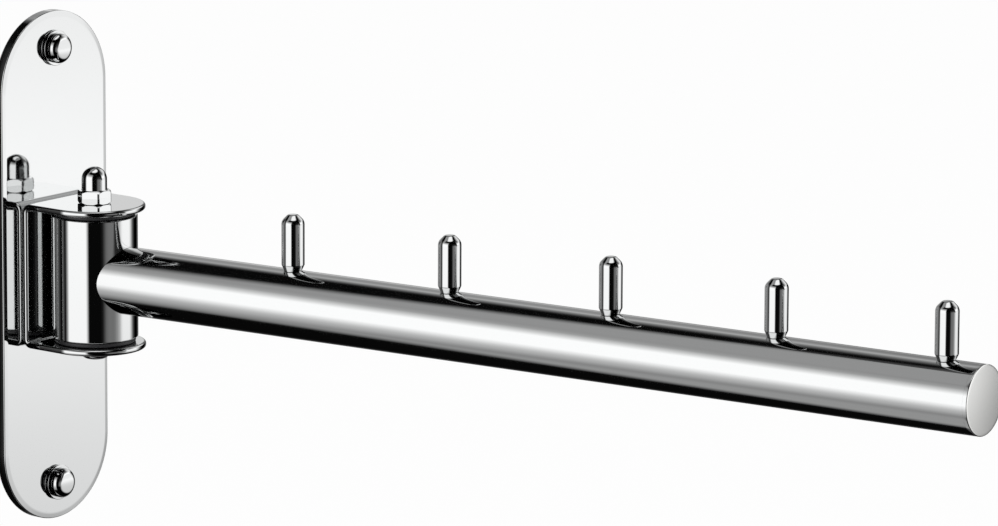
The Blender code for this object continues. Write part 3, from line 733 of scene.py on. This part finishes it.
# The box at the left goes over all else, as far as its share says. Its level changes with elevation.
leftBox = {"backwards": [(-0.43, 0), (-0.30, 1), (0.50, 1), (0.515, 0.96), (0.528, 0.75), (0.572, 0.4),
                         (0.67, 0)],
           "elevation": [(-49, 0), (-42, 1), (40, 1), (46, 0)],
           "level": [(-47, 0.29), (-42, 0.31), (-38, 0.39), (-33, 0.51), (-28, 0.6), (-23, 0.76),
                     (-18, 0.98), (-13, 1.18), (-10, 1.31), (17, 1.31), (21, 1.1), (26, 0.83), (30, 0.65),
                     (34, 0.45), (39, 0.38), (43, 0.35), (47, 0.33), (57, 0.31)]}
darkLevel, rampTop = 0.003, 1.7
aroundLevel, cameraLevel = 0.9, 1.0
world = bpy.data.worlds.new("studioWorld")
scene.world = world
world.use_nodes = True
tree = world.node_tree
tree.nodes.clear()
way = addNode(tree, "ShaderNodeSeparateXYZ", {},
              {0: addNode(tree, "ShaderNodeTexCoord").outputs["Generated"]})
bearing = maths(tree, "ARCTAN2", way.outputs[0], maths(tree, "MULTIPLY", way.outputs[1], -1.0))
climb = maths(tree, "ARCSINE", way.outputs[2])
leaning = maths(tree, "MULTIPLY_ADD", way.outputs[2], backwards["lean"], way.outputs[1])
askew = maths(tree, "MULTIPLY_ADD", way.outputs[0], backwards["turn"], leaning)
# Each measure has its node, the node's greatest value, and what the stops above call that value
measures = {"azimuth": (bearing, math.pi, 180), "elevation": (climb, math.pi / 2, 90),
            "backwards": (leaning, 1.0, 1), "askew": (askew, 1.0, 1)}
places = {key: addNode(tree, "ShaderNodeMapRange", {"From Min": -most, "From Max": most}, {"Value": source})
          for key, (source, most, span) in measures.items()}


def rampOver(key, stops):
    # A ramp along one measure, which holds each value over rampTop
    ramp = addNode(tree, "ShaderNodeValToRGB", {}, {0: places[key]})
    elements, span = ramp.color_ramp.elements, measures[key][2]
    for index, (position, value) in enumerate(stops):
        spot = (position + span) / 2 / span
        element = elements[index] if index < 2 else elements.new(spot)
        element.position = spot
        element.color = (value / rampTop,) * 3 + (1,)
    return ramp


def wallOver(key, wall):
    # A product of two ramps, which lacks rampTop twice
    return maths(tree, "MULTIPLY", rampOver(key, wall[key]), rampOver("elevation", wall["elevation"]))


total = None
for wall in studio:
    product = wallOver("azimuth", wall)
    total = maths(tree, "ADD", total, product) if total else product
# From here on brightness lacks rampTop once, and the last node puts it back
unscaled = maths(tree, "MULTIPLY", total, rampTop)
darkShare = maths(tree, "MULTIPLY", rampOver("askew", pastWall), rampTop)
darkened = addNode(tree, "ShaderNodeMix", {3: darkLevel / rampTop}, {0: darkShare, 2: unscaled})
withPanel = maths(tree, "MULTIPLY_ADD", wallOver("azimuth", rearPanel), rampTop, darkened)
withBack = maths(tree, "MULTIPLY_ADD", wallOver("backwards", backWall), rampTop, withPanel)
leftSide = maths(tree, "LESS_THAN", way.outputs[0], 0.0)
leftWhole = maths(tree, "MULTIPLY", wallOver("backwards", leftBox), rampTop ** 2)
leftShare = maths(tree, "MULTIPLY", leftWhole, leftSide)
radiance = addNode(tree, "ShaderNodeMix", {},
                   {0: leftShare, 2: withBack, 3: rampOver("elevation", leftBox["level"])})
mirrored = addNode(tree, "ShaderNodeBackground", {"Strength": rampTop}, {"Color": radiance})
plain = addNode(tree, "ShaderNodeBackground", {"Color": (1, 1, 1, 1), "Strength": aroundLevel})
white = addNode(tree, "ShaderNodeBackground", {"Color": (1, 1, 1, 1), "Strength": cameraLevel})
path = addNode(tree, "ShaderNodeLightPath")
seen = maths(tree, "MAXIMUM", path.outputs["Is Camera Ray"], path.outputs["Is Transmission Ray"])
straight = addNode(tree, "ShaderNodeMixShader", {}, {0: seen, 1: plain, 2: white})
both = addNode(tree, "ShaderNodeMixShader", {}, {0: path.outputs["Is Glossy Ray"], 1: straight, 2: mirrored})
addNode(tree, "ShaderNodeOutputWorld", {}, {"Surface": both})
print("camera, floor and light set")
